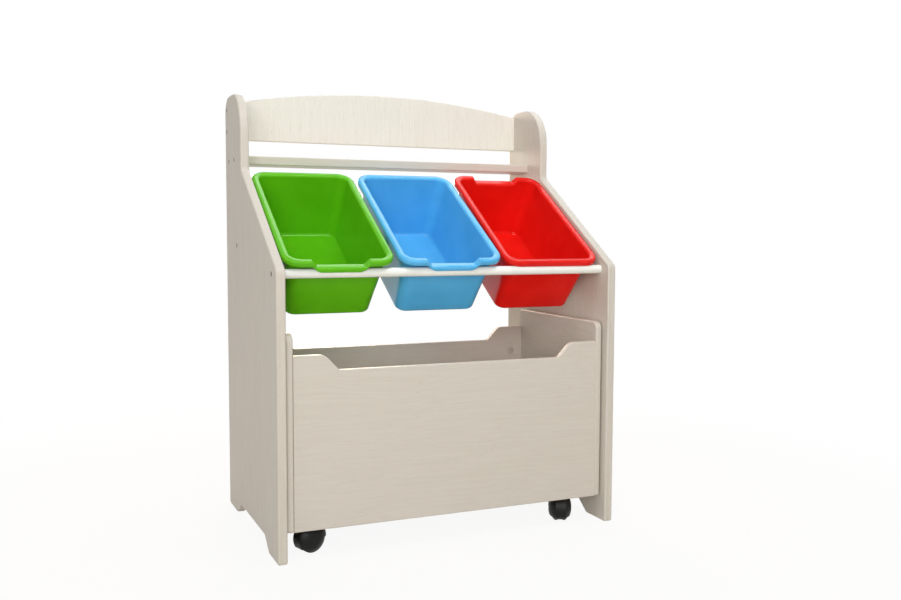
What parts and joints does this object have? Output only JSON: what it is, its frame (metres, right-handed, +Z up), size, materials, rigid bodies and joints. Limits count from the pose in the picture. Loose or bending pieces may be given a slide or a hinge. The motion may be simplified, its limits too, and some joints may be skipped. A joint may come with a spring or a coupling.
{
  "type": "toy storage unit",
  "caption": "Toy storage unit: two shaped side panels, arched headboard, shelf, tilted lift-out bins on rods, and a toy box on casters that rolls out from underneath",
  "frame": {"origin": "on the floor, under the middle of the unit's box", "axes": "+Z up, the front faces -Y, +X to the right seen from the front"},
  "size_m": [0.636, 0.405, 0.8179],
  "materials": {
    "panel_board": "satin ash-effect foil on board",
    "headboard_board": "satin ash-effect foil on board",
    "box_board": "satin ash-effect foil on board",
    "base_board": "satin ash-effect foil on board",
    "rod_enamel": "white enamel on steel tube",
    "white_plastic": "moulded",
    "zinc_steel": "zinc plated",
    "cam_zinc": "die-cast zinc",
    "beech_dowel": "bare beech",
    "green_polypropylene": "glossy moulded",
    "blue_polypropylene": "glossy moulded",
    "red_polypropylene": "glossy moulded",
    "black_nylon": "moulded",
    "wheel_nylon": "moulded"
  },
  "bodies": {
    "frame": {"left_side_panel": "panel_board", "right_side_panel": "panel_board", "headboard": "headboard_board", "top_shelf": "headboard_board", "front_rod": "rod_enamel", "rear_rod": "rod_enamel", "rod_end_plugs": "white_plastic", "rod_screws": "zinc_steel", "headboard_screws": "zinc_steel", "shelf_screws": "zinc_steel"},
    "toy_box": {"box_front_panel": "box_board", "box_back_panel": "box_board", "box_left_side": "box_board", "box_right_side": "box_board", "box_bottom_panel": "base_board", "box_cam_locks": "cam_zinc", "box_cam_bolts": "zinc_steel", "box_dowels": "beech_dowel", "caster_plate_screws": "zinc_steel", "front_left_caster_plate": "zinc_steel", "front_left_caster_kingpin": "zinc_steel", "front_right_caster_plate": "zinc_steel", "front_right_caster_kingpin": "zinc_steel", "rear_left_caster_plate": "zinc_steel", "rear_left_caster_kingpin": "zinc_steel", "rear_right_caster_plate": "zinc_steel", "rear_right_caster_kingpin": "zinc_steel"},
    "front_left_caster": {"front_left_caster_hood": "black_nylon", "front_left_caster_axle": "zinc_steel"},
    "front_left_outer_wheel": {"front_left_caster_outer_wheel": "wheel_nylon"},
    "front_left_inner_wheel": {"front_left_caster_inner_wheel": "wheel_nylon"},
    "front_right_caster": {"front_right_caster_hood": "black_nylon", "front_right_caster_axle": "zinc_steel"},
    "front_right_outer_wheel": {"front_right_caster_outer_wheel": "wheel_nylon"},
    "front_right_inner_wheel": {"front_right_caster_inner_wheel": "wheel_nylon"},
    "rear_left_caster": {"rear_left_caster_hood": "black_nylon", "rear_left_caster_axle": "zinc_steel"},
    "rear_left_outer_wheel": {"rear_left_caster_outer_wheel": "wheel_nylon"},
    "rear_left_inner_wheel": {"rear_left_caster_inner_wheel": "wheel_nylon"},
    "rear_right_caster": {"rear_right_caster_hood": "black_nylon", "rear_right_caster_axle": "zinc_steel"},
    "rear_right_outer_wheel": {"rear_right_caster_outer_wheel": "wheel_nylon"},
    "rear_right_inner_wheel": {"rear_right_caster_inner_wheel": "wheel_nylon"},
    "green_bin": {"green_bin": "green_polypropylene"},
    "blue_bin": {"blue_bin": "blue_polypropylene"},
    "red_bin": {"red_bin": "red_polypropylene"}
  },
  "joints": [
    {"name": "toy_box_roll", "type": "slide", "parent": "frame", "child": "toy_box", "axis": [0, -1, 0], "range_m": [0, 0.4]},
    {"name": "front_left_swivel", "type": "hinge", "parent": "toy_box", "child": "front_left_caster", "pos_m": [-0.2377, -0.1433, 0.059], "axis": [0, 0, 1], "continuous": true},
    {"name": "front_left_outer_wheel_spin", "type": "hinge", "parent": "front_left_caster", "child": "front_left_outer_wheel", "pos_m": [-0.25086, -0.14809, 0.025], "axis": [0.342, -0.9397, 0], "continuous": true},
    {"name": "front_left_inner_wheel_spin", "type": "hinge", "parent": "front_left_caster", "child": "front_left_inner_wheel", "pos_m": [-0.25086, -0.14809, 0.025], "axis": [0.342, -0.9397, 0], "continuous": true},
    {"name": "front_right_swivel", "type": "hinge", "parent": "toy_box", "child": "front_right_caster", "pos_m": [0.2377, -0.1433, 0.059], "axis": [0, 0, 1], "continuous": true},
    {"name": "front_right_outer_wheel_spin", "type": "hinge", "parent": "front_right_caster", "child": "front_right_outer_wheel", "pos_m": [0.23178, -0.15599, 0.025], "axis": [0.9063, -0.4226, 0], "continuous": true},
    {"name": "front_right_inner_wheel_spin", "type": "hinge", "parent": "front_right_caster", "child": "front_right_inner_wheel", "pos_m": [0.23178, -0.15599, 0.025], "axis": [0.9063, -0.4226, 0], "continuous": true},
    {"name": "rear_left_swivel", "type": "hinge", "parent": "toy_box", "child": "rear_left_caster", "pos_m": [-0.2377, 0.0793, 0.059], "axis": [0, 0, 1], "continuous": true},
    {"name": "rear_left_outer_wheel_spin", "type": "hinge", "parent": "rear_left_caster", "child": "rear_left_outer_wheel", "pos_m": [-0.24873, 0.07068, 0.025], "axis": [0.6157, -0.788, 0], "continuous": true},
    {"name": "rear_left_inner_wheel_spin", "type": "hinge", "parent": "rear_left_caster", "child": "rear_left_inner_wheel", "pos_m": [-0.24873, 0.07068, 0.025], "axis": [0.6157, -0.788, 0], "continuous": true},
    {"name": "rear_right_swivel", "type": "hinge", "parent": "toy_box", "child": "rear_right_caster", "pos_m": [0.2377, 0.0793, 0.059], "axis": [0, 0, 1], "continuous": true},
    {"name": "rear_right_outer_wheel_spin", "type": "hinge", "parent": "rear_right_caster", "child": "rear_right_outer_wheel", "pos_m": [0.23049, 0.0673, 0.025], "axis": [0.8572, -0.515, 0], "continuous": true},
    {"name": "rear_right_inner_wheel_spin", "type": "hinge", "parent": "rear_right_caster", "child": "rear_right_inner_wheel", "pos_m": [0.23049, 0.0673, 0.025], "axis": [0.8572, -0.515, 0], "continuous": true},
    {"name": "green_bin_lift", "type": "slide", "parent": "frame", "child": "green_bin", "axis": [0, -0.5237, 0.8519], "range_m": [0, 0.25]},
    {"name": "blue_bin_lift", "type": "slide", "parent": "frame", "child": "blue_bin", "axis": [0, -0.5237, 0.8519], "range_m": [0, 0.25]},
    {"name": "red_bin_lift", "type": "slide", "parent": "frame", "child": "red_bin", "axis": [0, -0.5473, 0.837], "range_m": [0, 0.25]}
  ]
}
